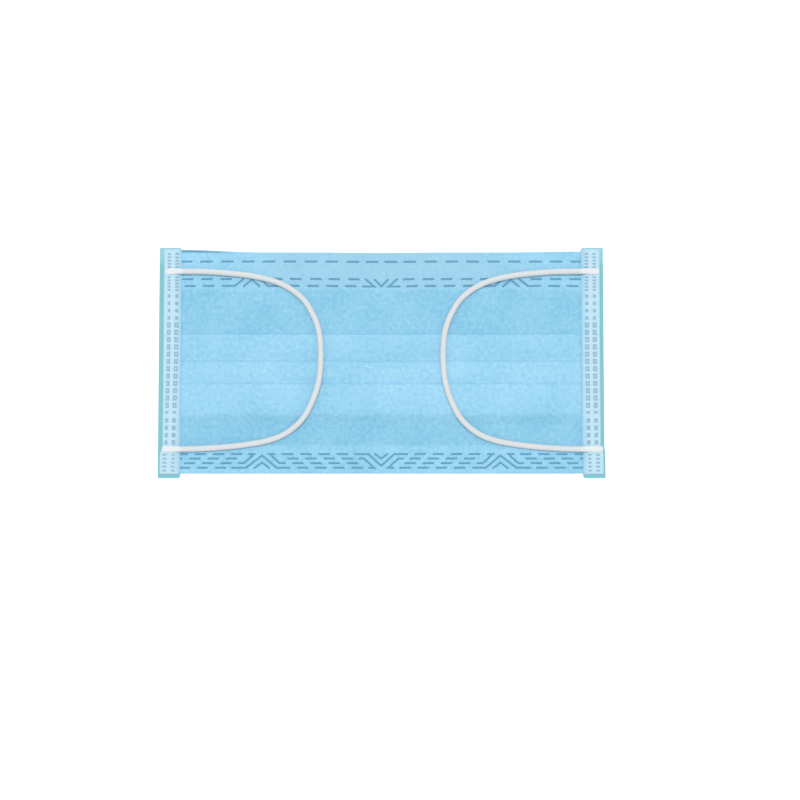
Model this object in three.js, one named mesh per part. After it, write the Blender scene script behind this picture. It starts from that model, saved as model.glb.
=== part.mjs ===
// A pleated disposable face mask, lying flat with its outer face up and both ear loops laid in over it.
// Millimetres: +X across the mask, +Y towards its nose edge, +Z up from the surface that it lies on.
// The origin is at the middle of the mask's underside.
import * as THREE from 'three';

// Driving dimensions of the body
const maskWidth = 175; // over both side strips
const panelHeight = 87.2; // nose edge to chin edge, at the middle
const noseRise = 1.2; // how much higher the nose edge stands where the strips hold it
const clothWall = 1.0; // the laminated cloth
const layerGap = 0.3; // between folded layers
const noseHemDepth = 14.6; // cloth turned back behind the nose edge
const chinHemDepth = 10.6;
const weldedHeight = 1.4; // the whole stack where the side welds press it flat
const noseRiseStart = 0.56; // share of the half width where the nose edge starts to rise
const liftRun = 14; // how far in from a strip the layers take to open out

// Driving dimensions of the side strips
const stripWidth = 9.1;
const stripWall = 1.0;
const noseOverhang = 0.6; // strip past the nose edge, where they meet
const chinOverhang = 1.8;
const fitGap = 0.3; // clear space between pieces that touch

// Driving dimensions of the ear loops
const loopDiameter = 2.6;
const loopReach = 54.8; // how far a loop reaches in from its strip
const loopNoseInset = 9.3; // from the nose end of the strip to the middle of the cord
const loopChinInset = 11.6;
const weldWidth = 2.9; // of an end, where it is pressed flat on the strip
const weldThickness = 1.1;

// Pleats from nose to chin. Their folds face the nose edge. foldAt is the fold's distance down from the
// nose edge, and tuck how far the cloth runs down behind it: shares of the panel's height. A pleat with
// no tuck of its own reaches as far as the next one leaves room for.
const pleats = [
  { foldAt: 0.372 },
  { foldAt: 0.494 },
  { foldAt: 0.598, tuck: 0.136 },
];

// An ear loop's route from its nose end to its chin end. along is a share of its reach in from the
// strip, up a share of its span, and bed the height of what it lies on as a share of the pleats' height.
// Both ends lie on the strip.
const loopRoute = [
  { along: 0.0, up: 0.5 },
  { along: 0.09, up: 0.4995, bed: 1.04 },
  { along: 0.179, up: 0.498, bed: 0.86 },
  { along: 0.321, up: 0.49, bed: 0.69 },
  { along: 0.465, up: 0.478, bed: 0.65 },
  { along: 0.608, up: 0.456, bed: 0.65 },
  { along: 0.712, up: 0.428, bed: 0.65 },
  { along: 0.796, up: 0.391, bed: 0.66 },
  { along: 0.878, up: 0.335, bed: 0.67 },
  { along: 0.929, up: 0.273, bed: 0.72 },
  { along: 0.965, up: 0.213, bed: 0.87 },
  { along: 0.989, up: 0.142, bed: 1.0 },
  { along: 0.999, up: 0.056, bed: 1.0 },
  { along: 0.998, up: -0.03, bed: 1.0 },
  { along: 0.987, up: -0.112, bed: 1.0 },
  { along: 0.965, up: -0.18, bed: 1.0 },
  { along: 0.929, up: -0.252, bed: 1.0 },
  { along: 0.878, up: -0.323, bed: 0.96 },
  { along: 0.808, up: -0.379, bed: 0.72 },
  { along: 0.721, up: -0.424, bed: 0.55 },
  { along: 0.608, up: -0.455, bed: 0.6 },
  { along: 0.465, up: -0.475, bed: 0.65 },
  { along: 0.321, up: -0.488, bed: 0.69 },
  { along: 0.179, up: -0.496, bed: 0.86 },
  { along: 0.09, up: -0.499, bed: 1.04 },
  { along: 0.0, up: -0.5 },
];

// Values that follow from them
const layerPitch = clothWall + layerGap;
const stackHeight = 2 * layerPitch + clothWall; // three layers, one over another
const foldRadius = (layerPitch + clothWall) / 2; // outside of a fold
const stripHeight = weldedHeight + 2 * (fitGap + stripWall);
const bendRadius = stripHeight / 2; // outside of a strip's turned edge
const bendCentreX = maskWidth / 2 - bendRadius;
const stripInnerX = maskWidth / 2 - stripWidth;
const stripLength = panelHeight + noseRise + noseOverhang + chinOverhang;
const noseEdgeY = stripLength / 2 - noseOverhang - noseRise;
const chinEdgeY = noseEdgeY - panelHeight;
const loopRadius = loopDiameter / 2;
const loopSpan = stripLength - loopNoseInset - loopChinInset;
const loopMiddle = (loopChinInset - loopNoseInset) / 2;
const weldLength = bendCentreX - fitGap - stripInnerX;

// Resolution
const foldDivisions = 2; // half the segments round a fold
const liftSteps = 10;
const loopSides = 8;
const loopSteps = 34;
const weldSides = 12;
const weldSteps = 6;

const clothBlue = new THREE.MeshStandardMaterial({ color: 0x96d5f3, roughness: 0.9, metalness: 0 });
const stripPale = new THREE.MeshStandardMaterial({ color: 0xc4e2f2, roughness: 0.9, metalness: 0 });
const loopWhite = new THREE.MeshStandardMaterial({ color: 0xe6e8e6, roughness: 0.8, metalness: 0 });

const smooth = (value, low, high) => THREE.MathUtils.smoothstep(value, low, high);

// Height of the middle of a layer above the panel's underside.
const levelZ = (level) => clothWall / 2 + level * layerPitch;

// Where the first layer may turn up behind a front layer that comes down a 45 degree step ending at stepEndY.
function tuckEndAbove(stepEndY) {
  const clearOfStep = Math.SQRT2 * (foldRadius + layerGap);
  return stepEndY + clearOfStep - foldRadius + (clothWall + layerPitch * Math.SQRT1_2) * Math.SQRT1_2;
}

// The cloth's centre line in a cut across the pleats, from the end of the nose hem to the end of the chin
// hem. Across the page is the mask's Y, and up it Z.
function clothPath() {
  const bend = layerPitch / 2;
  const noseHemEnd = noseEdgeY - noseHemDepth;
  const chinHemEnd = chinEdgeY + chinHemDepth;
  const path = new THREE.Path();

  const turnAtNoseSide = (edgeY, level) => {
    path.absarc(edgeY - foldRadius, levelZ(level) + bend, bend, -Math.PI / 2, Math.PI / 2, false);
  };
  const turnAtChinSide = (edgeY, level) => {
    path.absarc(edgeY + foldRadius, levelZ(level) + bend, bend, -Math.PI / 2, Math.PI / 2, true);
  };
  const stepTo = (startY, fromLevel, endY, toLevel) => {
    path.lineTo(startY, levelZ(fromLevel));
    path.lineTo(endY, levelZ(toLevel));
  };

  path.moveTo(noseHemEnd, levelZ(0));
  turnAtNoseSide(noseEdgeY, 0);
  stepTo(noseHemEnd - fitGap, 1, noseHemEnd - fitGap - layerPitch, 0);

  pleats.forEach((pleat, i) => {
    const foldY = noseEdgeY - pleat.foldAt * panelHeight;
    const next = pleats[i + 1];
    const clearance = tuckEndAbove(0);
    const tuckEndY = next ? tuckEndAbove(noseEdgeY - next.foldAt * panelHeight) : foldY - pleat.tuck * panelHeight;
    const stepEndY = tuckEndY - clearance;
    turnAtChinSide(tuckEndY, 0);
    turnAtNoseSide(foldY, 1);
    stepTo(stepEndY + 2 * layerPitch, 2, stepEndY, 0);
  });

  stepTo(chinHemEnd + fitGap + layerPitch, 0, chinHemEnd + fitGap, 1);
  path.absarc(chinEdgeY + foldRadius, levelZ(0) + bend, bend, Math.PI / 2, (3 * Math.PI) / 2, false);
  path.lineTo(chinHemEnd, levelZ(0));
  return path;
}

// Both sides of a line of points, moved apart to give it a wall.
function wallOutline(points, wall) {
  const left = [];
  const right = [];
  points.forEach((point, i) => {
    const before = points[Math.max(i - 1, 0)];
    const after = points[Math.min(i + 1, points.length - 1)];
    const into = point.clone().sub(before).normalize();
    const out = after.clone().sub(point).normalize();
    if (i === 0) into.copy(out);
    if (i === points.length - 1) out.copy(into);
    const along = into.clone().add(out).normalize();
    const reach = wall / 2 / along.dot(into);
    const side = new THREE.Vector2(-along.y, along.x).multiplyScalar(reach);
    left.push(point.clone().add(side));
    right.push(point.clone().sub(side));
  });
  return [...left, ...right.reverse()];
}

// Neighbours that lie closer than this are one point of the cloth's outline.
const samePoint = 1e-4;

function withoutRepeats(points) {
  return points.filter((point, i) => i === 0 || point.distanceTo(points[i - 1]) > samePoint);
}

// Sections across the mask, from the left strip to the right one.
function panelStations() {
  const riseStartX = (noseRiseStart * maskWidth) / 2;
  const half = [0, riseStartX / 2];
  for (let i = 0; i <= liftSteps; i += 1) {
    half.push(THREE.MathUtils.lerp(riseStartX, stripInnerX, i / liftSteps));
  }
  half.push(bendCentreX);
  return [...half.slice(1).reverse().map((x) => -x), ...half];
}

// The panel is one pleated sheet. Towards each strip its layers close up and lift into the strip's slot,
// and its nose edge rises.
function pleatedPanel() {
  const outline = wallOutline(withoutRepeats(clothPath().getPoints(foldDivisions)), clothWall);
  const stations = panelStations();
  const steps = stations.length - 1;
  const geometry = new THREE.ExtrudeGeometry(new THREE.Shape(outline), {
    depth: steps,
    steps,
    bevelEnabled: false,
  });
  const firstFoldY = noseEdgeY - pleats[0].foldAt * panelHeight;
  const position = geometry.getAttribute('position');
  for (let i = 0; i < position.count; i += 1) {
    const y = position.getX(i);
    const z = position.getY(i);
    const x = stations[Math.round(position.getZ(i))];
    const closed = smooth(Math.abs(x), stripInnerX - liftRun, stripInnerX);
    const scale = THREE.MathUtils.lerp(1, weldedHeight / stackHeight, closed);
    const rise = noseRise * smooth(Math.abs(x), (noseRiseStart * maskWidth) / 2, stripInnerX);
    const share = THREE.MathUtils.clamp((y - firstFoldY) / (noseEdgeY - firstFoldY), 0, 1);
    position.setXYZ(i, x, y + rise * share, z * scale + closed * (stripWall + fitGap));
  }
  geometry.computeVertexNormals();
  return named(geometry, clothBlue, 'pleated_panel');
}

// A strip is a folded band: two flanges and a round turned edge, open towards the panel.
function sideStrip(side, name) {
  const inner = bendRadius - stripWall;
  const shape = new THREE.Shape();
  shape.moveTo(stripInnerX, 0);
  shape.absarc(bendCentreX, bendRadius, bendRadius, -Math.PI / 2, Math.PI / 2, false);
  shape.lineTo(stripInnerX, stripHeight);
  shape.lineTo(stripInnerX, stripHeight - stripWall);
  shape.absarc(bendCentreX, bendRadius, inner, Math.PI / 2, -Math.PI / 2, true);
  shape.lineTo(stripInnerX, stripWall);
  const geometry = new THREE.ExtrudeGeometry(shape, { depth: stripLength, bevelEnabled: false, curveSegments: 8 });
  geometry.translate(0, 0, -stripLength / 2);
  geometry.rotateX(Math.PI / 2);
  if (side < 0) geometry.rotateZ(Math.PI);
  return named(geometry, stripPale, name);
}

function loopPoint({ along, up, bed }) {
  const bedHeight = bed === undefined ? stripHeight : bed * stackHeight;
  return new THREE.Vector3(
    stripInnerX - fitGap - along * loopReach,
    loopMiddle + up * loopSpan,
    bedHeight + fitGap + loopRadius,
  );
}

function earLoop(side, name) {
  const points = loopRoute.map(loopPoint);
  points.forEach((point) => {
    point.x *= side;
  });
  const path = new THREE.CatmullRomCurve3(points, false, 'centripetal');
  const ring = [];
  for (let i = 0; i < loopSides; i += 1) {
    const angle = (2 * Math.PI * i) / loopSides;
    ring.push(new THREE.Vector2(Math.cos(angle), Math.sin(angle)).multiplyScalar(loopRadius));
  }
  const geometry = new THREE.ExtrudeGeometry(new THREE.Shape(ring), { steps: loopSteps, extrudePath: path });
  return named(geometry, loopWhite, name);
}

// A loop's end, pressed flat and fused on the strip: round where the loop comes in, a flat tab at the edge.
function loopWeld(side, end, name) {
  const geometry = new THREE.CylinderGeometry(1, 1, weldLength, weldSides, weldSteps);
  geometry.rotateZ(-Math.PI / 2);
  const position = geometry.getAttribute('position');
  for (let i = 0; i < position.count; i += 1) {
    const along = position.getX(i) / weldLength + 0.5;
    const pressed = smooth(along, 0, 0.55);
    const halfWidth = THREE.MathUtils.lerp(loopRadius, weldWidth / 2, pressed);
    const halfHeight = THREE.MathUtils.lerp(loopRadius, weldThickness / 2, pressed);
    position.setXYZ(
      i,
      stripInnerX + along * weldLength,
      position.getY(i) * halfWidth,
      stripHeight + fitGap + halfHeight * (1 + position.getZ(i)),
    );
  }
  if (side < 0) geometry.rotateZ(Math.PI);
  const mesh = named(geometry, loopWhite, name);
  mesh.position.y = loopMiddle + (end * loopSpan) / 2;
  return mesh;
}

function named(geometry, material, name) {
  const mesh = new THREE.Mesh(geometry, material);
  mesh.name = name;
  return mesh;
}

const mask = new THREE.Group();
mask.add(pleatedPanel());
const sides = { left: -1, right: 1 };
const ends = { nose: 1, chin: -1 };
for (const [sideName, side] of Object.entries(sides)) {
  mask.add(sideStrip(side, `side_strip_${sideName}`));
  mask.add(earLoop(side, `ear_loop_${sideName}`));
  for (const [endName, end] of Object.entries(ends)) {
    mask.add(loopWeld(side, end, `loop_weld_${sideName}_${endName}`));
  }
}

export default mask;
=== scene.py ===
# A pleated disposable face mask, lying flat with its outer face up and its ear loops laid in over it.
# The piece sizes below are in millimetres, x across the mask, y towards its nose edge and z up.
import math

import bmesh
import bpy
from mathutils import Matrix, Vector, noise


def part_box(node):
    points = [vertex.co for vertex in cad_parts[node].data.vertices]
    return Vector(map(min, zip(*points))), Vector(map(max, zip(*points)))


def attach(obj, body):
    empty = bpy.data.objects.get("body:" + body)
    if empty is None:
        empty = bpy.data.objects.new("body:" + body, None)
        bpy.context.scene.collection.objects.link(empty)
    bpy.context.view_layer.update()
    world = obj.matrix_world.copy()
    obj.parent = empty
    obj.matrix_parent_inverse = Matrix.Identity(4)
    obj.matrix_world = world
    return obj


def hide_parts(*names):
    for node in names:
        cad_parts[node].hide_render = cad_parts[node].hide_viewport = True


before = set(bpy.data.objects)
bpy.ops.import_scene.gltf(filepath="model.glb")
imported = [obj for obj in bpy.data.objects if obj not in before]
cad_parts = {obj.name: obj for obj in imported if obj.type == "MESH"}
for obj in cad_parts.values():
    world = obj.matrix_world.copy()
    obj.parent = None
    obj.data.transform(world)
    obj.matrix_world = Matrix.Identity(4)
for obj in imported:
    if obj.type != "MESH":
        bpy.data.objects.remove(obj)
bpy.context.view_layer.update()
mm = 0.001

panelLow, panelHigh = (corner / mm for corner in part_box("pleated_panel"))
stripLow, stripHigh = (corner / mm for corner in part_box("side_strip_right"))
print("frame loaded, panel", [round(size, 1) for size in panelHigh - panelLow])


def ease(value, low=0.0, high=1.0):
    t = min(max((value - low) / (high - low), 0.0), 1.0)
    return t * t * (3 - 2 * t)


def mix(a, b, share):
    return a + (b - a) * share


# Camera

photo = {
    "pixels": 800,
    "maskPixels": 444.3,  # over both side strips
    "maskCentre": (381.3, 362.8),
    "distance": 0.6,  # metres
    "tilt": math.radians(3.4),  # the chin edge is a little nearer
    "sensor": 36,
}


def setCamera():
    metresPerPixel = 2 * stripHigh.x * mm / photo["maskPixels"]
    aimX = (photo["pixels"] / 2 - photo["maskCentre"][0]) * metresPerPixel
    aimY = (photo["maskCentre"][1] - photo["pixels"] / 2) * metresPerPixel
    back = Vector((0, -math.sin(photo["tilt"]), math.cos(photo["tilt"])))
    data = bpy.data.cameras.new("camera")
    data.sensor_width = photo["sensor"]
    data.lens = photo["sensor"] * photo["distance"] / (photo["pixels"] * metresPerPixel)
    camera = bpy.data.objects.new("camera", data)
    camera.location = Vector((aimX, aimY, 0)) + back * photo["distance"]
    camera.rotation_euler = (photo["tilt"], 0, 0)
    bpy.context.collection.objects.link(camera)
    bpy.context.scene.camera = camera


# Material helper: shader maths reads as sums

mixInputs = (0, 6, 7)  # sockets of the colour mix: the share, then the two colours
mixOutput = 2


class Field:
    def __init__(self, tree, socket):
        self.tree = tree
        self.socket = socket

    def node(self, kind, settings=None, inputs=None, output=0):
        made = self.tree.nodes.new(kind)
        for key, value in (settings or {}).items():
            setattr(made, key, value)
        for key, value in (inputs or {}).items():
            if isinstance(value, Field):
                self.tree.links.new(value.socket, made.inputs[key])
            else:
                made.inputs[key].default_value = value
        return Field(self.tree, made.outputs[output])

    def maths(self, operation, a, b=0.0, clamp=False):
        return self.node("ShaderNodeMath", {"operation": operation, "use_clamp": clamp}, {0: a, 1: b})

    def __add__(self, other):
        return self.maths("ADD", self, other)

    def __radd__(self, other):
        return self.maths("ADD", other, self)

    def __sub__(self, other):
        return self.maths("SUBTRACT", self, other)

    def __rsub__(self, other):
        return self.maths("SUBTRACT", other, self)

    def __mul__(self, other):
        return self.maths("MULTIPLY", self, other)

    def __rmul__(self, other):
        return self.maths("MULTIPLY", other, self)

    def blend(self, colourA, colourB):
        # colour A where this field is 0, colour B where it is 1
        colours = [item if isinstance(item, Field) else (*item, 1) for item in (colourA, colourB)]
        settings = {"data_type": "RGBA", "clamp_factor": True}
        inputs = dict(zip(mixInputs, (self, *colours)))
        return self.node("ShaderNodeMix", settings, inputs, mixOutput)


fabric = {"sheenRoughness": 0.5, "specular": 0.25}


def newMaterial(name, roughness, sheen=0.0):
    made = bpy.data.materials.new(name)
    made.use_nodes = True
    shader = made.node_tree.nodes["Principled BSDF"]
    shader.inputs["Roughness"].default_value = roughness
    shader.inputs["Sheen Weight"].default_value = sheen
    shader.inputs["Sheen Roughness"].default_value = fabric["sheenRoughness"]
    shader.inputs["Specular IOR Level"].default_value = fabric["specular"]
    return made, shader, Field(made.node_tree, None)


def plug(field, shader, name):
    field.tree.links.new(field.socket, shader.inputs[name])


def attribute(f, name):
    return f.node("ShaderNodeAttribute", {"attribute_name": name}, output=2)


def flatPlaceOf(f):
    # a spot's place on the flat cloth, or round and along a cord
    return f.node("ShaderNodeUVMap", {"uv_map": "flat"})


def split(vector):
    made = vector.node("ShaderNodeSeparateXYZ", inputs={0: vector})
    return [Field(vector.tree, made.socket.node.outputs[i]) for i in (0, 1)]


def srgb(*levels):
    # the linear colour that shaders take, from levels of 0 to 255 that are all well above black
    return tuple(((level / 255 + 0.055) / 1.055) ** 2.4 for level in levels)


nonwoven = {
    "sheen": 0.15,
    "cloud": 55,  # noise scales, to the metre
    "mottle": 620,
    "fibre": 2600,
    "fibreTwist": 1.5,
    "dotPitch": 1.1 * mm,
    "dotRadius": 0.17 * mm,
    "relief": (0.5, 0.5, 0.7),  # of the fibres, the mottle and the bond points, which lie deeper
    "bump": {"Strength": 0.35, "Distance": 0.08 * mm},
}


def spunbondDots(uv, pitch, radius):
    # two grids of bond points, one set in the gaps of the other
    x, y = split(uv)
    near = None
    for shift in (0.0, 0.5):
        across = uv.maths("PINGPONG", x + shift * pitch, pitch / 2)
        along = uv.maths("PINGPONG", y + shift * pitch, pitch / 2)
        gap = uv.maths("SQRT", across * across + along * along)
        near = gap if near is None else uv.maths("MINIMUM", near, gap)
    return 1 - uv.maths("DIVIDE", near, radius, clamp=True)


def grain(f, shader):
    # mottle, fibres and bond points of the cloth, as fields and as relief of the surface
    n = nonwoven
    uv = flatPlaceOf(f)
    mottle = f.node("ShaderNodeTexNoise", inputs={"Vector": uv, "Scale": n["mottle"], "Detail": 4})
    fibreInputs = {"Vector": uv, "Scale": n["fibre"], "Detail": 3, "Distortion": n["fibreTwist"]}
    fibre = f.node("ShaderNodeTexNoise", inputs=fibreInputs)
    dots = spunbondDots(uv, n["dotPitch"], n["dotRadius"])
    fibreRise, mottleRise, dotDepth = n["relief"]
    height = fibre * fibreRise + mottle * mottleRise - dots * dotDepth
    bump = f.node("ShaderNodeBump", inputs={**n["bump"], "Height": height})
    plug(bump, shader, "Normal")
    return mottle, fibre, dots


clothLook = {
    "dark": srgb(110, 177, 206),
    "light": srgb(163, 212, 238),
    "weld": srgb(80, 145, 178),
    "inner": srgb(238, 242, 244),
    "innerDark": srgb(226, 232, 236),
    "dull": srgb(148, 191, 211),  # the nose hem over its double layer
    "cloudShare": 0.6,
    "mottleShare": 0.95,
    "fibreShare": 0.8,
    "dotShare": 0.2,
    "innerMottle": 0.8,
    "weldShare": 0.92,
    "roughness": 0.86,
    "weldSmooth": 0.3,
}


def clothMaterial():
    look = clothLook
    made, shader, f = newMaterial("outer_cloth", look["roughness"], nonwoven["sheen"])
    mottle, fibre, dots = grain(f, shader)
    place = f.node("ShaderNodeTexCoord", output=3)
    cloud = f.node("ShaderNodeTexNoise", inputs={"Vector": place, "Scale": nonwoven["cloud"], "Detail": 3})
    weld = attribute(f, "weld")
    # outer face: layer tone with painted highlights along the pleats, then mottle, fibres and bond points
    shade = attribute(f, "toneAndShading") + (cloud - 0.5) * look["cloudShare"] + (mottle - 0.5) * look["mottleShare"]
    shade = shade + (fibre - 0.5) * look["fibreShare"] - dots * look["dotShare"]
    blue = shade.blend(look["dark"], look["light"])
    blue = attribute(f, "dull").blend(blue, look["dull"])
    # the weld colour marks the welds, and also paints a shade line along the nose fold by the left strip
    blue = (weld * look["weldShare"]).blend(blue, look["weld"])
    inside = ((mottle - 0.5) * look["innerMottle"] + 0.5).blend(look["innerDark"], look["inner"])
    plug(attribute(f, "outer").blend(inside, blue), shader, "Base Color")
    plug(look["roughness"] - weld * look["weldSmooth"], shader, "Roughness")
    return made


tape = {
    "dark": srgb(168, 206, 224),
    "light": srgb(192, 221, 236),
    "through": srgb(143, 198, 226),  # the panel's blue through the thin inner edge
    # the rim's teal is partly painted shade along the strip's rolled outer edge; the flattened ends take the
    # same teal
    "rim": srgb(120, 186, 196),
    "weld": srgb(134, 173, 191),
    "mottleShare": 0.9,
    "fibreShare": 0.5,
    "dotShare": 0.25,
    "thinShare": 0.75,
    "weldShare": 0.9,
    "roughness": 0.84,
    "weldSmooth": 0.25,
    "rimSmooth": 0.2,
}


def tapeMaterial():
    made, shader, f = newMaterial("side_binding", tape["roughness"], nonwoven["sheen"])
    mottle, fibre, dots = grain(f, shader)
    weld = attribute(f, "weld")
    rim = attribute(f, "rim")
    shade = 0.5 + (mottle - 0.5) * tape["mottleShare"] + (fibre - 0.5) * tape["fibreShare"]
    shade = shade - dots * tape["dotShare"]
    pale = shade.blend(tape["dark"], tape["light"])
    pale = (attribute(f, "thin") * tape["thinShare"]).blend(pale, tape["through"])
    teal = rim.blend(pale, tape["rim"])
    plug((weld * tape["weldShare"]).blend(teal, tape["weld"]), shader, "Base Color")
    plug(tape["roughness"] - weld * tape["weldSmooth"] - rim * tape["rimSmooth"], shader, "Roughness")
    return made


elastic = {
    "white": srgb(219, 224, 226),
    # painted shade in the knit's grooves, where the ribs and stitches dip
    "grooveShade": srgb(199, 203, 205),
    "fusedWhite": srgb(226, 231, 234),
    "fusedShade": srgb(208, 213, 216),
    "roughness": 0.8,
    "ribs": 14,  # round the cord
    "stitch": 0.9,
    "slant": 2.5,  # how far a rib shifts the stitches on it
    "ribShare": 0.6,
    "fuzz": 3.0,  # noise scale
    "fuzzShare": 0.3,
    "bump": {"Strength": 0.5, "Distance": 0.1 * mm},
}


def elasticMaterial(name, knitted):
    look = elastic
    made, shader, f = newMaterial(name, look["roughness"])
    uv = flatPlaceOf(f)
    around, along = split(uv)
    fuzz = f.node("ShaderNodeTexNoise", inputs={"Vector": uv, "Scale": look["fuzz"], "Detail": 4})
    rib = f.maths("SINE", around * (2 * math.pi * look["ribs"])) * 0.5 + 0.5
    stitches = f.maths("SINE", along * (2 * math.pi / look["stitch"]) + rib * look["slant"]) * 0.5 + 0.5
    knit = rib * look["ribShare"] + stitches * (1 - look["ribShare"]) if knitted else fuzz
    # knitted cord: painted shade in the grooves between ribs and stitches, mixed with random fuzz; fused
    # ends: random fuzz tone only
    dark, light = ("grooveShade", "white") if knitted else ("fusedShade", "fusedWhite")
    share = knit * (1 - look["fuzzShare"]) + fuzz * look["fuzzShare"]
    plug(share.blend(look[dark], look[light]), shader, "Base Color")
    bump = f.node("ShaderNodeBump", inputs={**look["bump"], "Height": knit})
    plug(bump, shader, "Normal")
    return made


# Flat cloth, weld marks and thickness


def flatSheet(columns, rows):
    # a flat grid whose lines lie at the listed places
    bm = bmesh.new()
    bmesh.ops.create_grid(bm, x_segments=len(columns) - 1, y_segments=len(rows) - 1, size=0.5)
    for vert in bm.verts:
        column = round((vert.co.x + 0.5) * (len(columns) - 1))
        row = round((vert.co.y + 0.5) * (len(rows) - 1))
        vert.co = (columns[column], rows[row], 0)
    return bm


cell = 3  # of the grid that finds faces by their place
cutTolerance = 1e-5
sharpAngle = math.radians(65)


def cellsOf(low, high):
    for i in range(math.floor(low.x / cell), math.floor(high.x / cell) + 1):
        for j in range(math.floor(low.y / cell), math.floor(high.y / cell) + 1):
            yield i, j


def boxOf(points):
    xs = [point[0] for point in points]
    ys = [point[1] for point in points]
    return Vector((min(xs), min(ys))), Vector((max(xs), max(ys)))


def facesNear(places, outline):
    low, high = boxOf(outline)
    found = {}
    for key in cellsOf(low, high):
        for face in places.get(key, ()):
            if face.is_valid:
                faceLow, faceHigh = boxOf([vert.co for vert in face.verts])
                if faceLow.x < high.x and faceHigh.x > low.x and faceLow.y < high.y and faceHigh.y > low.y:
                    found[face] = True
    return list(found)


def keep(places, faces):
    for face in faces:
        low, high = boxOf([vert.co for vert in face.verts])
        for key in cellsOf(low, high):
            places.setdefault(key, []).append(face)


def inOutline(point, outline):
    for i, corner in enumerate(outline):
        edge = Vector(outline[(i + 1) % len(outline)]) - Vector(corner)
        if edge.cross(Vector((point.x, point.y)) - Vector(corner)) < 0:
            return False
    return True


def cutOutlines(bm, outlines):
    # cuts each outline's edges into the faces below it, and gives the faces that it holds
    places = {}
    keep(places, bm.faces)
    for outline in outlines:
        for i, corner in enumerate(outline):
            edge = Vector(outline[(i + 1) % len(outline)]) - Vector(corner)
            faces = facesNear(places, outline)
            edges = dict.fromkeys(item for face in faces for item in face.edges)
            verts = dict.fromkeys(vert for face in faces for vert in face.verts)
            cut = bmesh.ops.bisect_plane(
                bm,
                geom=[*verts, *edges, *faces],
                dist=cutTolerance,
                plane_co=(*corner, 0),
                plane_no=(edge.y, -edge.x, 0),
            )
            keep(places, [item for item in cut["geom"] if isinstance(item, bmesh.types.BMFace)])
    marked = {}
    for outline in outlines:
        for face in facesNear(places, outline):
            if inOutline(face.calc_center_median(), outline):
                marked[face] = True
    return list(marked)


def weldedCloth(bm, outlines, thickness, depth, slope):
    # insets and presses the marks, and gives the flat cloth its wall, middle line at z = 0
    uvLayer = bm.loops.layers.uv.new("flat")
    weld = bm.verts.layers.float.new("weld")
    outer = bm.verts.layers.float.new("outer")
    marked = cutOutlines(bm, outlines)
    bmesh.ops.inset_region(bm, faces=marked, thickness=slope, depth=0, use_even_offset=True)
    for face in marked:
        for vert in face.verts:
            vert[weld] = 1
    for face in bm.faces:
        for corner in face.loops:
            corner[uvLayer].uv = (corner.vert.co.x * mm, corner.vert.co.y * mm)
    made = bmesh.ops.extrude_face_region(bm, geom=bm.faces[:], use_keep_orig=True)
    upper = {item for item in made["geom"] if isinstance(item, bmesh.types.BMVert)}
    for vert in bm.verts:
        sunk = vert[weld] * depth
        if vert in upper:
            vert.co.z = thickness / 2 - sunk
            vert[outer] = 1
        else:
            vert.co.z = -thickness / 2 + sunk / 2


def finishPiece(name, bm, material):
    bmesh.ops.recalc_face_normals(bm, faces=bm.faces[:])
    if bm.calc_volume(signed=True) < 0:
        bmesh.ops.reverse_faces(bm, faces=bm.faces[:])
    bmesh.ops.scale(bm, vec=(mm, mm, mm), verts=bm.verts)
    mesh = bpy.data.meshes.new(name)
    bm.to_mesh(mesh)
    bm.free()
    mesh.polygons.foreach_set("use_smooth", [True] * len(mesh.polygons))
    mesh.set_sharp_from_angle(angle=sharpAngle)
    mesh.materials.append(material)
    piece = bpy.data.objects.new(name, mesh)
    bpy.context.collection.objects.link(piece)
    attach(piece, "root")
    print(name, len(mesh.polygons), "faces")
    return piece


# Weld marks of the panel, as outlines in x and y

slant = 0.3  # how far a dash's ends lean, as a share of its width


def dash(x, y, length, width, lean):
    # a short bar with slanted ends; lean 1 leans it like a slash, -1 like a backslash
    half, rise, skew = length / 2, width / 2, lean * width * slant
    return [
        (x - half - skew, y - rise),
        (x + half - skew, y - rise),
        (x + half + skew, y + rise),
        (x - half + skew, y + rise),
    ]


def stroke(points, width):
    # a bent bar: one outline for each stretch, mitred where it turns
    points = [Vector(point) for point in points]
    ways = [(b - a).normalized() for a, b in zip(points, points[1:])]
    left = []
    right = []
    for i, point in enumerate(points):
        into = ways[max(i - 1, 0)]
        out = ways[min(i, len(ways) - 1)]
        mean = (into + out).normalized()
        side = Vector((-mean.y, mean.x)) * (width / 2 / mean.dot(into))
        left.append(point + side)
        right.append(point - side)
    pairs = zip(right, right[1:], left[1:], left)
    return [[tuple(corner) for corner in corners] for corners in pairs]


def mirrored(outlines):
    return [*outlines, *([(-x, y) for x, y in reversed(outline)] for outline in outlines)]


noseSeam = {
    "edgeRow": {
        "y": 39.95,
        "length": 5.0,
        "centres": [3.7, 11.2] + [19.5 + 8.26 * i for i in range(7)] + [77],
    },
    "upperRow": {"y": 33.0, "length": 4.6},
    "lowerRow": {"y": 30.25, "length": 4.6},
    "width": 0.87,
    "strokeWidth": 0.8,
}


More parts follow.
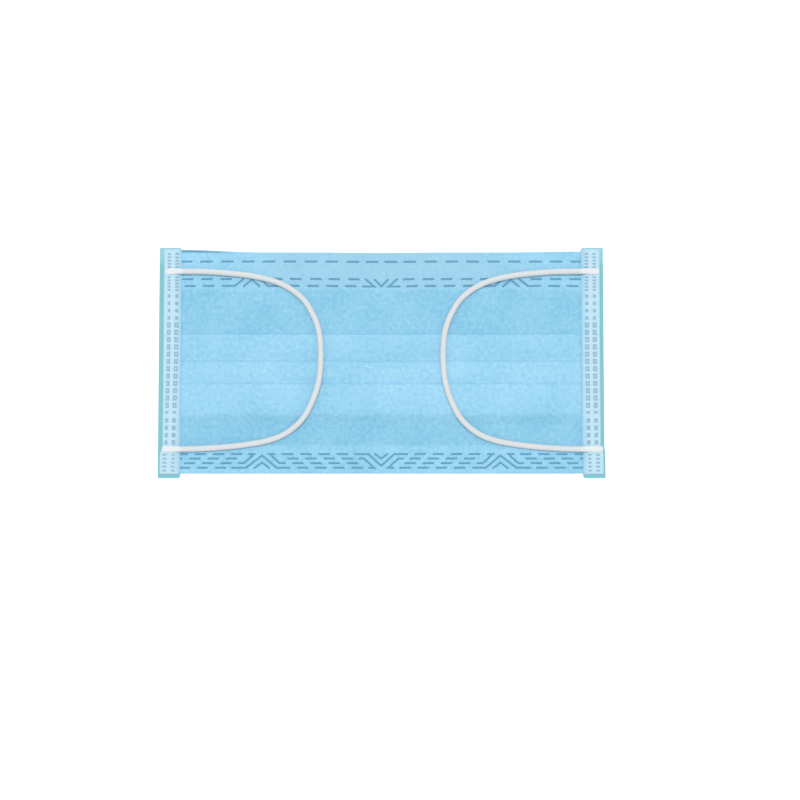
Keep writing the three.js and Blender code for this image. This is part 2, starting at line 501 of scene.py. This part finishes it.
def noseMarks():
    s = noseSeam
    edge, upper, lower = s["edgeRow"], s["upperRow"], s["lowerRow"]
    width, thin = s["width"], s["strokeWidth"]
    marks = [dash(-x, edge["y"], edge["length"], width, 1) for x in edge["centres"]]
    for x in (-76.4, -68.8, -61.15):
        marks.append(dash(x, upper["y"], upper["length"], width, 1))
    for x in (-41.2, -33.7, -25.8, -18.55, -10.8):
        marks.append(dash(x, upper["y"], upper["length"], width, -1))
    for x in (-75.4, -68.1):
        marks.append(dash(x, lower["y"], lower["length"], width, 1))
    for x in (-34.5, -26.9, -19.35, -12.1):
        marks.append(dash(x, lower["y"], lower["length"], width, -1))
    for points in (
        [(-62.9, 30.25), (-57.8, 30.25), (-54.2, 33.2)],
        [(-54.5, 29.85), (-51.0, 32.8), (-47.7, 29.85)],
        [(-48.0, 33.2), (-44.6, 30.25), (-40.5, 30.25)],
        [(-7.6, 30.15), (-2.9, 30.15), (-6.4, 33.2)],
    ):
        marks.extend(stroke(points, thin))
    centre = stroke([(-2.8, 33.1), (0, 30.15), (2.8, 33.1)], thin)
    return mirrored(marks) + centre


chinSeam = {
    "rows": (-36.0, -37.75, -39.55, -41.35),
    "length": 4.5,
    "width": 0.82,
    "strokeWidth": 0.8,
    "pitch": 7.12,
    "outerStart": -56.6,  # row 1's dash next to the outer chevron, on its outer side
    "outerShift": -2.1,  # from row to row
    "innerStart": -36.6,
    "innerShift": 1.96,
}


def chinMarks():
    s = chinSeam
    top, upper, lower, bottom = s["rows"]
    marks = []
    for row, y in enumerate(s["rows"]):
        for i in range(4):
            outerX = s["outerStart"] + s["outerShift"] * row - s["pitch"] * i
            marks.append(dash(outerX, y, s["length"], s["width"], 1))
            innerX = s["innerStart"] + s["innerShift"] * row + s["pitch"] * i
            marks.append(dash(innerX, y, s["length"], s["width"], -1))
    for points in (
        [(-49.9, -41.7), (-46.65, -39.3), (-43.6, -41.7)],
        [(-58.7, bottom), (-52.9, bottom), (-46.65, -36.55), (-41.0, bottom), (-35.6, bottom)],
        [(-56.1, lower), (-53.7, lower), (-50.2, -36.4)],
        [(-43.2, -36.4), (-39.9, lower), (-37.4, lower)],
        [(-8.9, upper), (-6.8, upper), (-3.1, -41.0)],
    ):
        marks.extend(stroke(points, s["strokeWidth"]))
    marks.append(dash(-50.7, top, 3.0, s["width"], 1))
    marks.append(dash(-42.9, top, 2.9, s["width"], -1))
    marks.append(dash(-3.6, bottom, 3.0, s["width"], -1))
    inner = stroke([(-2.7, -35.7), (0, -37.8), (2.7, -35.7)], s["strokeWidth"])
    middle = stroke([(-10.6, top), (-5.1, top), (0, -40.6), (5.1, top), (10.6, top)], s["strokeWidth"])
    return mirrored(marks) + inner + middle


# The pleated panel

cloth = {
    "thickness": 0.32,
    "noseRise": 1.2,  # room above the nose edge
    "rise": (0.95, 0.35),  # of the nose edge by the left strip and by the right one
    "riseRun": (46, 78),
    "riseFrom": 40.4,  # y over the outer row of welds
    "noseHem": 14.6,
    "chinHem": 10.6,
    # each pleat's fold as a share of the height down from the nose edge, the y that it reaches
    # behind that, the height of its lowest layer and the run over which the cloth comes down off it
    "pleats": [
        {"fold": 0.374, "tuck": 4.3, "under": 2.38, "slope": 3.6},
        {"fold": 0.497, "tuck": -4.8, "under": 2.5, "slope": 3.6},
        {"fold": 0.598, "tuck": -20.1, "under": 2.6, "slope": 4.6},
    ],
    "approach": 3,  # this far before the first fold the cloth is level with that pleat's lowest layer
    "tuckShort": 0.3,  # this far before a tuck's end the top layer starts to come down
    "chinLift": 0.1,  # over the hem's front layer, where the cloth comes down off the last pleat
    "layer": 0.4,  # from layer to layer
    "hemBack": 1.6,
    "hemFront": 2.0,
    "sag": 0.9,  # in the middle, between the loops
    "sagRun": (3, 27),
    "cornerShade": 1.0,  # painted shade: the nose fold's edge is darker by the left strip
    "cornerRun": (54, 72),
    "cornerDepth": 0.3,
    "dullRows": (29, 30),  # the nose hem is greyer in the middle
    "dullRun": (30, 70),
    "dullShare": 0.5,
    "liftRun": 14,  # how far in from a strip the layers take to open out
    "hiddenRun": (2.2, 4),  # past a strip's inner edge the nose edge comes down again
    "hiddenDrop": 0.2,
    "foldSpot": 1.2,  # a spot on the hem this far short of the nose edge finds the fold's place
    "foldBehind": 0.7,  # the painted shade at the corner starts this far round the back of the nose fold
    "foldFront": 0.8,  # and ends this far down the front
    "rowStep": 1.1,
    "foldSteps": 6,
    "columnStep": 2.2,
    "end": 84.5,  # half width, inside the strips
    "bound": 2.4,  # height that the strips press flat to their own middle
    "boundShare": 0.5,
    "dent": 0.15,
    "dentSlope": 0.1,
}


def clothLine():
    # the cloth's middle line in a cut across the pleats, from the nose hem's end to the chin hem's end
    c = cloth
    top = panelHigh.y - c["noseRise"]
    bottom = panelLow.y
    height = top - bottom
    line = [Vector((top - c["noseHem"], c["hemBack"]))]

    def run(y, z):
        start = line[-1]
        steps = max(1, round(abs(y - start.x) / c["rowStep"]))
        for i in range(1, steps + 1):
            share = i / steps
            line.append(Vector((mix(start.x, y, share), mix(start.y, z, ease(share)))))

    def turn(z, facing):
        start = line[-1]
        middle = (start.y + z) / 2
        radius = (z - start.y) / 2
        for i in range(1, c["foldSteps"] + 1):
            angle = math.pi * (i / c["foldSteps"] - 0.5)
            outwards = abs(radius) * math.cos(angle) * facing
            line.append(Vector((start.x + outwards, middle + radius * math.sin(angle))))

    fold = c["thickness"] / 2 + c["layer"] / 2  # from a fold's edge to where it starts
    run(top - fold, c["hemBack"])
    turn(c["hemFront"], 1)
    run(top - fold - c["cornerDepth"], c["hemFront"])
    run(top - fold - 2 * c["cornerDepth"], c["hemFront"])
    run(top - c["noseHem"], c["hemFront"])
    below = [pleat["under"] for pleat in c["pleats"][1:]] + [c["hemFront"] + c["chinLift"]]
    run(top - c["pleats"][0]["fold"] * height + c["approach"], c["pleats"][0]["under"])
    for pleat, nextUnder in zip(c["pleats"], below):
        foldY = top - pleat["fold"] * height
        tucked = pleat["under"] + c["layer"]
        run(pleat["tuck"] + fold, pleat["under"])
        turn(tucked, -1)
        run(foldY - fold, tucked)
        turn(tucked + c["layer"], 1)
        run(pleat["tuck"] + c["tuckShort"], tucked + c["layer"])
        run(pleat["tuck"] + c["tuckShort"] - pleat["slope"], nextUnder)
    run(bottom + c["chinHem"], c["hemFront"])
    run(bottom + fold, c["hemFront"])
    turn(c["hemBack"], -1)
    run(bottom + c["chinHem"], c["hemBack"])
    return line


def distances(line):
    along = [0.0]
    for a, b in zip(line, line[1:]):
        along.append(along[-1] + (b - a).length)
    return along


def lineNormals(line):
    normals = []
    for i in range(len(line)):
        way = (line[min(i + 1, len(line) - 1)] - line[max(i - 1, 0)]).normalized()
        normals.append(Vector((-way.y, way.x)))
    return normals


def onLine(line, along, normals, place, height):
    # where a point of the flat cloth lies once it is folded
    low, high = 0, len(along) - 1
    while high - low > 1:
        middle = (low + high) // 2
        if along[middle] <= place:
            low = middle
        else:
            high = middle
    share = (place - along[low]) / (along[high] - along[low])
    normal = normals[low].lerp(normals[high], share).normalized()
    return line[low].lerp(line[high], share) + normal * height


sameLevel = 0.3  # height within which a spot counts as on a level stretch


def flatPlace(line, along, y, z):
    # how far along the cloth a spot of a level stretch lies
    for i in range(len(line) - 1):
        a, b = line[i], line[i + 1]
        level = abs(a.y - z) < sameLevel and abs(b.y - z) < sameLevel
        if min(a.x, b.x) <= y <= max(a.x, b.x) and level:
            return mix(along[i], along[i + 1], (y - a.x) / (b.x - a.x))
    raise ValueError(f"no cloth at {y}, {z}")


toneAndShadingBands = [  # y, and how light the outer face is there: lighter where the cloth lies in more layers, with a painted highlight just below each fold edge that fades down the pleat, and painted light just above the third fold that evens out its shadow line
    (45, 0.66),
    (29.3, 0.62),
    (28.6, 0.4),
    (11.6, 0.39),
    (11.2, 0.63),
    (6.0, 0.57),
    (1.0, 0.6),
    (0.5, 0.64),
    (-8.0, 0.66),
    (-8.5, 0.66),
    (-14.0, 0.62),
    (-19.9, 0.55),
    (-20.9, 0.42),
    (-24.0, 0.35),
    (-32.0, 0.35),
    (-33.2, 0.56),
    (-44, 0.56),
]


def toneAndShadingAt(y):
    for (highY, highTone), (lowY, lowTone) in zip(toneAndShadingBands, toneAndShadingBands[1:]):
        if lowY <= y <= highY:
            return mix(highTone, lowTone, (highY - y) / (highY - lowY))
    return toneAndShadingBands[0][1] if y > 0 else toneAndShadingBands[-1][1]


def pressed(z):
    # height of a layer under a strip's inner edge
    return tapeBand["middle"] + (z - cloth["bound"]) * cloth["boundShare"]


ripples = [  # lengths across and along, place in the noise, height
    (26, 16, 1.3, 0.16),
    (9, 7, 7.1, 0.05),
]


def ripple(x, y):
    # soft unevenness that all the layers share
    total = 0.0
    for across, along, place, height in ripples:
        total += height * noise.noise(Vector((x / across, y / along, place)))
    return total


def makePanel(material):
    c = cloth
    line = clothLine()
    along = distances(line)
    normals = lineNormals(line)
    for normal in normals:
        normal.negate()
    count = round(2 * c["end"] / c["columnStep"])
    columns = [mix(-c["end"], c["end"], i / count) for i in range(count + 1)]
    bm = flatSheet(columns, along)
    outlines = []
    for marks in (noseMarks(), chinMarks()):
        for outline in marks:
            for z in (c["hemFront"], c["hemBack"]):
                flat = [(x, flatPlace(line, along, y, z)) for x, y in outline]
                if (Vector(flat[1]) - Vector(flat[0])).cross(Vector(flat[2]) - Vector(flat[1])) < 0:
                    flat.reverse()
                outlines.append(flat)
    weldedCloth(bm, outlines, c["thickness"], c["dent"], c["dentSlope"])
    toneAndShading = bm.verts.layers.float.new("toneAndShading")
    dull = bm.verts.layers.float.new("dull")
    weld = bm.verts.layers.float["weld"]
    noseEdge = panelHigh.y - c["noseRise"]
    noseFold = flatPlace(line, along, noseEdge - c["foldSpot"], c["hemBack"]) + c["foldSpot"]
    darkUpTo = flatPlace(line, along, noseEdge - c["foldFront"], c["hemFront"])
    innerX = stripHigh.x - tapeBand["half"][0][0]
    for vert in bm.verts:
        x = vert.co.x
        y, z = onLine(line, along, normals, vert.co.y, vert.co.z)
        closed = ease(abs(x), innerX - c["liftRun"], innerX)
        # layer tone of the outer face, with painted highlights and painted light along the pleats
        vert[toneAndShading] = toneAndShadingAt(y)
        vert[dull] = c["dullShare"] * ease(y, *c["dullRows"]) * (1 - ease(abs(x), *c["dullRun"]))
        z += ripple(x, y) * (1 - closed)
        z -= c["sag"] * (1 - ease(abs(x), *c["sagRun"]))
        z = mix(z, pressed(z), closed)
        share = min(max((y - c["riseFrom"]) / (noseEdge - c["riseFrom"]), 0), 1)
        risen = c["rise"][x > 0] * ease(abs(x), *c["riseRun"])
        hidden = ease(abs(x) - innerX, *c["hiddenRun"])
        y += share * (risen - (risen + c["hiddenDrop"]) * hidden)
        # painted shade: a thin dark line along the nose fold by the left strip, kept in the weld attribute so
        # that it takes the weld colour
        if noseFold - c["foldBehind"] < vert.co.y < darkUpTo:
            vert[weld] = max(vert[weld], c["cornerShade"] * ease(-x, *c["cornerRun"]))
        vert.co = (x, y, z)
    piece = finishPiece("panel_cloth", bm, material)
    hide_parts("pleated_panel")
    flat = (2 * c["end"] * mm, along[-1] * mm)
    print("panel cut to", [round(size / mm, 1) for size in flat])


# The side strips

tapeBand = {
    "middle": 2.0,  # height of the fused rim
    "thickness": 0.3,
    "rim": 1.4,  # from the outer edge to where the padded face starts
    "rimWider": {-1: 0.4, 1: 0.05},  # left and right
    "rimWiderChin": -0.6,  # at the chin end
    "rimBlend": (-0.1, 0.25),  # of its colour, either side of its inner edge
    "rimGrow": (0, 1.3),  # where the width is added, and where it runs out again
    "padShrink": (1.75, 4.5),
    "thinRun": 1.0,
    "bendSteps": 6,
    "closedRows": 3,
    "closedShare": 0.2,  # of the height that is left in the flattened ends, which stay a little open
    "rimChin": (33, 36),
    "rimPale": (0.35, 38, 41),  # the rim is paler at the nose end
    "flare": 0.35,  # the right strip's chin end leans out
    "lay": 0.03,  # from the cloth to the inner edge that lies on it
    "layRun": 2.4,
    "nosePast": (43.4, 44.4),  # past the panel's edges its two inner edges close in
    "chinPast": (43.4, 43.9),
    "pinch": 0.17,  # from the middle height to an inner edge there
    # the front half from its inner edge to the rim: distance from the outer edge, height over the middle
    "half": [
        (8.75, 0.5),
        (8.4, 0.62),
        (7.9, 0.98),
        (7.3, 1.3),
        (6.6, 1.44),
        (5.6, 1.56),
        (4.9, 1.54),
        (4.1, 1.46),
        (3.3, 1.52),
        (2.6, 1.55),
        (2.05, 1.38),
        (1.75, 1.05),
        (1.5, 0.55),
        (1.2, 0.24),
        (0.75, 0.18),
        (0.35, 0.18),
    ],
    "chinClosed": (-43.6, -44.2),  # the strip's flattened ends start here
    "noseClosed": (44.5, 44.9),
    "corner": 0.6,  # cut off the two inner ends
    "rowStep": 1.2,
    "columns": {-1: (4.0, 7.05), 1: (3.7, 6.7)},  # of weld marks, from the outer edge, left and right
    "lean": {-1: 0.9, 1: 0.4},  # how much nearer the edge they are at the chin end
    "leanFrom": 10,  # they start to come nearer this far on the nose side of the middle
    "leanTo": 45,  # and are nearest this far on its chin side
    "dent": 0.14,
    "dentSlope": 0.06,
}

# groups of weld marks from the nose end: the first one's y, the step to the next, how many there
# are, their width and height, and the gap in a hollow one
tapeMarks = [
    {"y": 42.7, "step": -1.3, "count": 5, "size": (1.35, 0.72)},
    {"y": 33.5, "step": -1.25, "count": 5, "size": (1.35, 0.72)},
    {"y": 26.05, "step": -2.88, "count": 4, "size": (1.15, 1.4)},
    {"y": 14.6, "step": -2.87, "count": 12, "size": (1.6, 2.05), "hollow": (0.35, 0.75)},
    {"y": -19.7, "step": -1, "count": 1, "size": (1.4, 1.1)},
    {"y": -22.9, "step": -2.87, "count": 4, "size": (1.4, 1.75)},
    {"y": -36.3, "step": -1.55, "count": 5, "size": (1.25, 0.72)},
]


def block(x, y, width, height):
    return [
        (x - width / 2, y - height / 2),
        (x + width / 2, y - height / 2),
        (x + width / 2, y + height / 2),
        (x - width / 2, y + height / 2),
    ]


def tapeOutlines(side, places):
    # marks of one flange; places gives how far across the flat tape a distance from the outer edge lies
    outlines = []
    for row in tapeMarks:
        width, height = row["size"]
        for i in range(row["count"]):
            y = row["y"] + row["step"] * i
            lean = tapeBand["lean"][side] * ease(-y, -tapeBand["leanFrom"], tapeBand["leanTo"])
            for column in tapeBand["columns"][side]:
                x = places(column - lean)
                if "hollow" in row:
                    gapX, gapY = row["hollow"]
                    barX, barY = (width - gapX) / 2, (height - gapY) / 2
                    for way in (-1, 1):
                        outlines.append(block(x + way * (gapX + barX) / 2, y, barX, height))
                        outlines.append(block(x, y + way * (gapY + barY) / 2, gapX, barY))
                else:
                    outlines.append(block(x, y, width, height))
    return outlines


softening = (-0.8, -0.4, 0.0, 0.4, 0.8)  # steps in y over which the cloth's height is averaged
spanInset = 0.5  # from the panel's edges


def clothSpan(line, y):
    # lowest and highest of the cloth's layers at y, softened a little
    lows = []
    highs = []
    top = panelHigh.y - cloth["noseRise"] - spanInset
    for shift in softening:
        place = min(max(y + shift, panelLow.y + spanInset), top)
        heights = [(a.y + b.y) / 2 for a, b in zip(line, line[1:]) if min(a.x, b.x) <= place <= max(a.x, b.x)]
        lows.append(min(heights))
        highs.append(max(heights))
    return sum(lows) / len(lows), sum(highs) / len(highs)


def makeTape(side, name, material):
    t = tapeBand
    clothes = clothLine()
    half = [Vector((distance, t["middle"] + height)) for distance, height in t["half"]]
    radius = half[-1].y - t["middle"]
    bend = []
    for i in range(1, t["bendSteps"]):
        angle = math.pi * i / t["bendSteps"]
        bend.append(Vector((half[-1].x - radius * math.sin(angle), t["middle"] + radius * math.cos(angle))))
    back = [Vector((point.x, 2 * t["middle"] - point.y)) for point in reversed(half)]
    line = half + bend + back
    along = distances(line)
    normals = [-normal for normal in lineNormals(line)]
    length = stripHigh.y - stripLow.y
    count = round(length / t["rowStep"])
    rows = [mix(stripLow.y, stripHigh.y, i / count) for i in range(count + 1)]
    for start, end in (t["chinClosed"], t["noseClosed"]):
        rows.extend(mix(start, end, i / t["closedRows"]) for i in range(t["closedRows"] + 1))
    rows.sort()
    bm = flatSheet(along, rows)

    def frontPlace(distance):
        return along[-1] - backPlace(distance)

    def backPlace(distance):
        for i in range(len(line) - 1, len(line) - len(half), -1):
            a, b = line[i], line[i - 1]
            if b.x <= distance <= a.x:
                return mix(along[i], along[i - 1], (a.x - distance) / (a.x - b.x))
        raise ValueError(f"no tape at {distance}")

    outlines = tapeOutlines(side, frontPlace) + tapeOutlines(side, backPlace)
    weldedCloth(bm, outlines, t["thickness"], t["dent"], t["dentSlope"])
    rim = bm.verts.layers.float.new("rim")
    thin = bm.verts.layers.float.new("thin")
    wall = (t["thickness"] + cloth["thickness"] * cloth["boundShare"]) / 2 + t["lay"]
    spans = {}
    for vert in bm.verts:
        y = vert.co.y
        distance, z = onLine(line, along, normals, vert.co.x, vert.co.z)
        place = round(y, 1)
        if place not in spans:
            spans[place] = clothSpan(clothes, place)
        low, high = spans[place]
        inner = half[0].x - distance
        vert[thin] = 1 - ease(inner, 0, t["thinRun"])
        beyond = max(ease(y, *t["nosePast"]), ease(-y, *t["chinPast"]))
        if z > t["middle"]:
            lies = mix(pressed(high) + wall, t["middle"] + t["pinch"], beyond) - half[0].y
        else:
            lies = mix(pressed(low) - wall, t["middle"] - t["pinch"], beyond) - 2 * t["middle"] + half[0].y
        z += lies * (1 - ease(inner, 0, t["layRun"]))
        closed = max(ease(-y, -t["chinClosed"][0], -t["chinClosed"][1]), ease(y, *t["noseClosed"]))
        z = mix(z, t["middle"] + (z - t["middle"]) * t["closedShare"], closed)
        # painted shade in part: teal along the rolled outer edge, and the same teal over the flattened ends
        edge = 1 - ease(distance - t["rim"], *t["rimBlend"])
        pale, *paleRun = t["rimPale"]
        vert[rim] = max(edge, closed) * (1 - pale * ease(y, *paleRun))
        chinEnd = ease(-y, *t["rimChin"])
        wider = mix(t["rimWider"][side], t["rimWiderChin"], chinEnd)
        distance += wider * ease(distance, *t["rimGrow"]) * (1 - ease(distance, *t["padShrink"]))
        distance -= t["flare"] * chinEnd * (side > 0)
        y *= 1 - max(t["corner"] - inner, 0) / stripHigh.y
        vert.co = (side * (stripHigh.x - distance), y, z)
    piece = finishPiece(f"side_tape_{name}", bm, material)
    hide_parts(f"side_strip_{name}")
    flat = (along[-1] * mm, length * mm)
    print("tape cut to", [round(size / mm, 1) for size in flat])


# The ear loops

loop = {
    "diameter": 2.32,
    "reach": {-1: 54.5, 1: 53.9},  # left and right
    "shift": -0.25,
    "noseInset": 9.3,
    "chinInset": 11.6,
    "clear": 0.3,
    "sides": 20,
    "steps": 150,
    "fineSteps": 12,  # between two points of the route
    "uneven": 0.03,  # share of the width
    "unevenStep": 0.35,  # through the noise, from ring to ring
    "unevenPlace": 0.5,  # in the noise
}

loopRoute = [  # share of the reach, share of the span, height of the cord's middle
    (0.0, 0.5, 3.55),
    (0.09, 0.4995, 3.3),
    (0.179, 0.498, 3.36),
    (0.321, 0.49, 3.4),
    (0.465, 0.478, 3.4),
    (0.608, 0.456, 3.42),
    (0.712, 0.428, 3.44),
    (0.796, 0.391, 3.48),
    (0.878, 0.335, 3.58),
    (0.929, 0.273, 3.75),
    (0.965, 0.213, 4.1),
    (0.989, 0.142, 4.5),
    (0.999, 0.056, 4.53),
    (0.998, -0.03, 4.7),
    (0.987, -0.112, 4.6),
    (0.965, -0.18, 4.78),
    (0.929, -0.252, 4.76),
    (0.878, -0.323, 4.46),
    (0.808, -0.379, 3.62),
    (0.721, -0.424, 3.44),
    (0.608, -0.455, 3.41),
    (0.465, -0.475, 3.4),
    (0.321, -0.488, 3.36),
    (0.179, -0.496, 3.34),
    (0.09, -0.499, 3.3),
    (0.0, -0.5, 3.55),
]


def loopPoints(side):
    w = loop
    startX = stripLow.x - w["clear"]
    span = (stripHigh.y - stripLow.y) - w["noseInset"] - w["chinInset"]
    middle = (w["chinInset"] - w["noseInset"]) / 2 + w["shift"]
    points = []
    for share, up, z in loopRoute:
        points.append(Vector((side * (startX - share * w["reach"][side]), middle + up * span, z)))
    return points


def smoothPath(points, steps):
    # a centripetal spline through the points, then evenly spaced
    fine = []
    ends = [2 * points[0] - points[1], *points, 2 * points[-1] - points[-2]]
    for i in range(len(points) - 1):
        a, b, c, d = ends[i : i + 4]
        times = [0.0]
        for p, q in ((a, b), (b, c), (c, d)):
            times.append(times[-1] + math.sqrt((q - p).length))
        for k in range(loop["fineSteps"]):
            t = mix(times[1], times[2], k / loop["fineSteps"])
            ab = a.lerp(b, (t - times[0]) / (times[1] - times[0]))
            bc = b.lerp(c, (t - times[1]) / (times[2] - times[1]))
            cd = c.lerp(d, (t - times[2]) / (times[3] - times[2]))
            abc = ab.lerp(bc, (t - times[0]) / (times[2] - times[0]))
            bcd = bc.lerp(cd, (t - times[1]) / (times[3] - times[1]))
            fine.append(abc.lerp(bcd, (t - times[1]) / (times[2] - times[1])))
    fine.append(points[-1])
    along = distances(fine)
    path = []
    k = 0
    for i in range(steps + 1):
        place = along[-1] * i / steps
        while k < len(along) - 2 and along[k + 1] < place:
            k += 1
        path.append(fine[k].lerp(fine[k + 1], (place - along[k]) / (along[k + 1] - along[k])))
    return path


def sweep(path, shapes, sides, stitch):
    # a closed tube along a path; shapes gives each ring's half width and half height
    bm = bmesh.new()
    uvLayer = bm.loops.layers.uv.new("flat")
    ringLayer = bm.verts.layers.int.new("ring")
    made = bmesh.ops.create_circle(bm, segments=sides, radius=1, cap_ends=False)
    ring = made["verts"]
    for i, vert in enumerate(ring):
        vert[ringLayer] = i
    frames = []
    for i, point in enumerate(path):
        way = (path[min(i + 1, len(path) - 1)] - path[max(i - 1, 0)]).normalized()
        across = Vector((-way.y, way.x, 0)).normalized()
        up = way.cross(across)
        width, height = shapes[i]
        turn = Matrix((across * width, up * height, way)).transposed().to_4x4()
        frames.append(Matrix.Translation(point) @ turn)
    along = distances(path)
    bmesh.ops.transform(bm, matrix=frames[0], verts=ring)
    bmesh.ops.contextual_create(bm, geom=ring)
    edges = list(dict.fromkeys(edge for vert in ring for edge in vert.link_edges))
    for i in range(1, len(path)):
        made = bmesh.ops.extrude_edge_only(bm, edges=edges)
        ring = [item for item in made["geom"] if isinstance(item, bmesh.types.BMVert)]
        edges = [item for item in made["geom"] if isinstance(item, bmesh.types.BMEdge)]
        edges = [edge for edge in edges if all(vert in ring for vert in edge.verts)]
        bmesh.ops.transform(bm, matrix=frames[i] @ frames[i - 1].inverted(), verts=ring)
        for face in (item for item in made["geom"] if isinstance(item, bmesh.types.BMFace)):
            numbers = [corner.vert[ringLayer] for corner in face.loops]
            wraps = max(numbers) - min(numbers) > 1
            for corner in face.loops:
                number = corner.vert[ringLayer]
                if wraps and number == 0:
                    number = sides
                place = along[i] if corner.vert in ring else along[i - 1]
                corner[uvLayer].uv = (number / sides, place / stitch)
    bmesh.ops.contextual_create(bm, geom=ring)
    return bm


tab = {  # a loop's end, pressed flat on the strip
    "inside": 0.5,  # of it in the loop's own end
    "length": {(-1, "nose"): 6.7, (1, "nose"): 7.7, (-1, "chin"): 7.6, (1, "chin"): 8.7},
    "flatWidth": 2.35,
    "flatHeight": 0.5,
    "bed": 3.66,  # the strip's surface
    "tip": 0.7,  # how far the end bends down past the strip's padding
    "steps": 26,
    "cordShare": 0.97,  # of the cord's width, where the end starts inside it
    "flatRun": (0.05, 0.6),  # shares of its length over which it is pressed flat
    "ridge": 0.04,
    "ridges": 5,
    "tipRun": (0.9, 1.02),
    "tipLeast": 0.02,
    "padEnd": 0.9,  # from the strip's rim to where its padding falls off
    "tipFall": 1.2,
}


def makeTab(side, endName, loopEnd, material, name):
    steps = tab["steps"]
    length = tab["length"][side, endName]
    startX = loopEnd.x - side * tab["inside"]
    path = []
    shapes = []
    for i in range(steps + 1):
        share = i / steps
        flattened = ease(share, *tab["flatRun"])
        x = startX + side * (tab["inside"] + length) * share
        ridge = tab["ridge"] * math.cos(2 * math.pi * tab["ridges"] * share) * flattened
        height = mix(tab["cordShare"] * loop["diameter"], tab["flatHeight"] + ridge, flattened)
        width = mix(tab["cordShare"] * loop["diameter"], tab["flatWidth"], flattened)
        tip = math.sqrt(max(1 - ease(share, *tab["tipRun"]) ** 2, tab["tipLeast"]))
        past = max(abs(x) - (stripHigh.x - tapeBand["rim"] - tab["padEnd"]), 0)
        fall = tab["tip"] * ease(past, 0, tab["tipFall"])
        z = mix(loopEnd.z, tab["bed"] + height / 2, flattened) - fall
        path.append(Vector((x, loopEnd.y, z)))
        shapes.append((width / 2 * tip, height / 2 * tip))
    bm = sweep(path, shapes, loop["sides"], elastic["stitch"])
    piece = finishPiece(f"loop_tab_{name}_{endName}", bm, material)
    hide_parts(f"loop_weld_{name}_{endName}")
    return piece


def makeLoop(side, name, knit, fused):
    path = smoothPath(loopPoints(side), loop["steps"])
    shapes = []
    for i in range(len(path)):
        spot = Vector((i * loop["unevenStep"], side, loop["unevenPlace"]))
        uneven = 1 + loop["uneven"] * noise.noise(spot)
        shapes.append((loop["diameter"] / 2 * uneven, loop["diameter"] / 2 * (2 - uneven)))
    bm = sweep(path, shapes, loop["sides"], elastic["stitch"])
    piece = finishPiece(f"loop_cord_{name}", bm, knit)
    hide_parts(f"ear_loop_{name}")
    tabs = [makeTab(side, "nose", path[0], fused, name), makeTab(side, "chin", path[-1], fused, name)]
    path[0] * mm
    distances(path)[-1] * mm
    [point * mm for point in path]
    print("loop is", round(distances(path)[-1], 1), "mm long")


# Floor and light

studio = {
    "floor": 8.0,  # half its side, in metres
    "roughness": 0.9,  # of the table
    "white": 0.35,
    "glow": 0.8,  # it lies on a lit white table
    "sky": 0.7,
    "keyFrom": (0.0, 0.17, 1.0),  # from overhead, a little towards the nose edge
    "keySpread": math.radians(3),
    "keyStrength": 1.6,
}


def makeStudio():
    bm = bmesh.new()
    bmesh.ops.create_grid(bm, x_segments=1, y_segments=1, size=studio["floor"])
    mesh = bpy.data.meshes.new("floor")
    bm.to_mesh(mesh)
    bm.free()
    white, shader, _ = newMaterial("floor", studio["roughness"])
    shader.inputs["Base Color"].default_value = (studio["white"],) * 3 + (1,)
    shader.inputs["Emission Color"].default_value = (1, 1, 1, 1)
    shader.inputs["Emission Strength"].default_value = studio["glow"]
    mesh.materials.append(white)
    floor = bpy.data.objects.new("floor", mesh)
    bpy.context.collection.objects.link(floor)
    world = bpy.data.worlds.new("sky")
    world.use_nodes = True
    world.node_tree.nodes["Background"].inputs["Color"].default_value = (1, 1, 1, 1)
    world.node_tree.nodes["Background"].inputs["Strength"].default_value = studio["sky"]
    bpy.context.scene.world = world
    light = bpy.data.lights.new("key", "SUN")
    light.angle = studio["keySpread"]
    light.energy = studio["keyStrength"]
    key = bpy.data.objects.new("key", light)
    key.location = studio["keyFrom"]
    key.rotation_euler = (-Vector(studio["keyFrom"])).to_track_quat("-Z", "Y").to_euler()
    bpy.context.collection.objects.link(key)
    bpy.context.scene.view_settings.view_transform = "Standard"


setCamera()
makeStudio()
print("camera and studio ready")
knitMaterial = elasticMaterial("elastic_knit", True)
fusedMaterial = elasticMaterial("elastic_fused", False)
for sideName, side in (("left", -1), ("right", 1)):
    makeLoop(side, sideName, knitMaterial, fusedMaterial)
print("loops ready")
makePanel(clothMaterial())
print("panel ready")
bindingMaterial = tapeMaterial()
for sideName, side in (("left", -1), ("right", 1)):
    makeTape(side, sideName, bindingMaterial)
print("strips ready")
